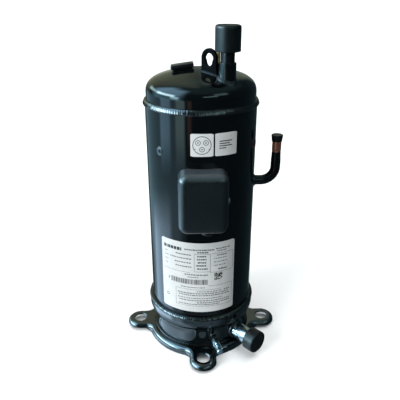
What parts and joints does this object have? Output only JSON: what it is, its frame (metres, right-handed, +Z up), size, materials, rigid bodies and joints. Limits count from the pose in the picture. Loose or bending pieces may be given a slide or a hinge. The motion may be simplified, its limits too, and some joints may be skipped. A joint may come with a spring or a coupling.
{
  "type": "hermetic scroll compressor",
  "caption": "Upright welded-shell refrigeration compressor with a scroll pump and motor inside, a side terminal box, plugged suction and discharge tubes and a lugged base.",
  "frame": {"origin": "on the shell's axis, on the surface that the base stands on", "axes": "+Z up along the shell; the terminal cover faces -Y and the discharge tube is on the +X side"},
  "size_m": [0.258, 0.258, 0.509],
  "materials": {
    "black_enamel": "gloss baked black enamel",
    "weld_black": "gloss enamel over a rippled weld bead",
    "black_rubber": "matte moulded rubber",
    "copper": "drawn copper, slightly tarnished",
    "brass": "bright drawn brass",
    "zinc_plate": "bright zinc plate",
    "cast_iron": "machined grey iron",
    "ground_steel": "ground steel",
    "cast_aluminium": "die cast",
    "lamination_steel": "stacked laminations",
    "enamelled_wire": "varnished magnet wire",
    "bearing_bronze": "sintered bronze",
    "black_plastic": "woven sleeve over insulated leads",
    "white_plastic": "moulded insulator",
    "label_stock": "white laminated label",
    "gasket": "closed-cell foam"
  },
  "bodies": {
    "casing": {"shell_body": "black_enamel", "top_cap": "black_enamel", "bottom_cap": "black_enamel", "upper_weld_bead": "weld_black", "lower_weld_bead": "weld_black", "base_plate": "black_enamel", "lifting_eye": "black_enamel", "suction_boss": "black_enamel", "suction_tube": "copper", "charge_port": "black_enamel", "thermostat_bracket": "black_enamel", "discharge_sleeve": "black_enamel", "discharge_tube": "copper", "terminal_fence": "black_enamel", "terminal_gasket": "gasket", "terminal_body": "zinc_plate", "terminal_pin_1": "copper", "terminal_pin_2": "copper", "terminal_pin_3": "copper", "oil_port_stub": "zinc_plate", "oil_valve_tube": "copper", "oil_valve_body": "zinc_plate", "name_plate": "label_stock", "wiring_sticker": "label_stock", "approval_sticker": "label_stock", "stator_core": "lamination_steel", "upper_winding": "enamelled_wire", "lower_winding": "enamelled_wire", "main_bearing": "bearing_bronze", "lower_bearing": "bearing_bronze", "lower_frame": "cast_iron", "main_frame": "cast_iron", "fixed_scroll": "cast_iron", "frame_bolt_1": "ground_steel", "frame_bolt_2": "ground_steel", "frame_bolt_3": "ground_steel", "suction_check_spring": "ground_steel", "cluster_block": "white_plastic", "lead_harness": "black_plastic"},
    "crank": {"crankshaft": "ground_steel", "rotor_core": "lamination_steel", "upper_end_ring": "cast_aluminium", "lower_end_ring": "cast_aluminium", "upper_counterweight": "cast_iron", "lower_counterweight": "brass", "oil_pickup": "ground_steel"},
    "orbiter": {"orbiting_scroll": "cast_aluminium", "orbit_bearing": "bearing_bronze"},
    "oldham": {"oldham_ring": "cast_aluminium"},
    "discharge_valve": {"discharge_check_valve": "ground_steel"},
    "suction_valve": {"suction_check_valve": "ground_steel"},
    "suction_plug": {"suction_plug": "black_rubber"},
    "discharge_plug": {"discharge_plug": "black_rubber"},
    "charge_cap": {"charge_port_cap": "brass"},
    "thermostat_cover": {"thermostat_cover": "black_rubber"},
    "terminal_cover": {"terminal_cover": "black_enamel", "cable_grommet": "black_rubber"},
    "cover_screw": {"cover_screw": "zinc_plate"},
    "oil_cap": {"oil_port_cap": "black_rubber"},
    "oil_valve_cap": {"oil_valve_cap": "zinc_plate"}
  },
  "joints": [
    {"name": "crank_spin", "type": "hinge", "parent": "casing", "child": "crank", "pos_m": [0, 0, 0.315], "axis": [0, 0, 1], "continuous": true},
    {"name": "orbit_pin", "type": "hinge", "parent": "crank", "child": "orbiter", "pos_m": [0, 0.0044, 0.342], "axis": [0, 0, 1], "continuous": true},
    {"name": "oldham_slide", "type": "slide", "parent": "casing", "child": "oldham", "axis": [1, 0, 0], "range_m": [-0.0044, 0.0044]},
    {"name": "discharge_valve_lift", "type": "slide", "parent": "casing", "child": "discharge_valve", "axis": [0, 0, 1], "range_m": [0, 0.005]},
    {"name": "suction_valve_drop", "type": "slide", "parent": "casing", "child": "suction_valve", "axis": [0, 0, 1], "range_m": [-0.012, 0], "stiffness_N_per_m": 12, "springref_m": 0.012, "deforming": ["suction_check_spring"]},
    {"name": "suction_plug_pull", "type": "slide", "parent": "casing", "child": "suction_plug", "axis": [0, 0, 1], "range_m": [0, 0.06]},
    {"name": "discharge_plug_pull", "type": "slide", "parent": "casing", "child": "discharge_plug", "axis": [0, 0, 1], "range_m": [0, 0.03]},
    {"name": "charge_cap_pull", "type": "slide", "parent": "casing", "child": "charge_cap", "axis": [0, 0, 1], "range_m": [0, 0.03]},
    {"name": "thermostat_cover_lift", "type": "slide", "parent": "casing", "child": "thermostat_cover", "axis": [-0.1374, 0, 0.9905], "range_m": [0, 0.03]},
    {"name": "terminal_cover_pull", "type": "slide", "parent": "casing", "child": "terminal_cover", "axis": [0, -1, 0], "range_m": [0, 0.06]},
    {"name": "cover_screw_out", "type": "slide", "parent": "terminal_cover", "child": "cover_screw", "axis": [1, 0, 0], "range_m": [0, 0.02]},
    {"name": "oil_cap_pull", "type": "slide", "parent": "casing", "child": "oil_cap", "axis": [0.682, -0.7314, 0], "range_m": [0, 0.04]},
    {"name": "oil_valve_cap_off", "type": "slide", "parent": "casing", "child": "oil_valve_cap", "axis": [0.2164, -0.9763, 0], "range_m": [0, 0.02]}
  ],
  "couplings": [
    {"joint": "orbit_pin", "follows": "crank_spin", "ratio": -1}
  ]
}
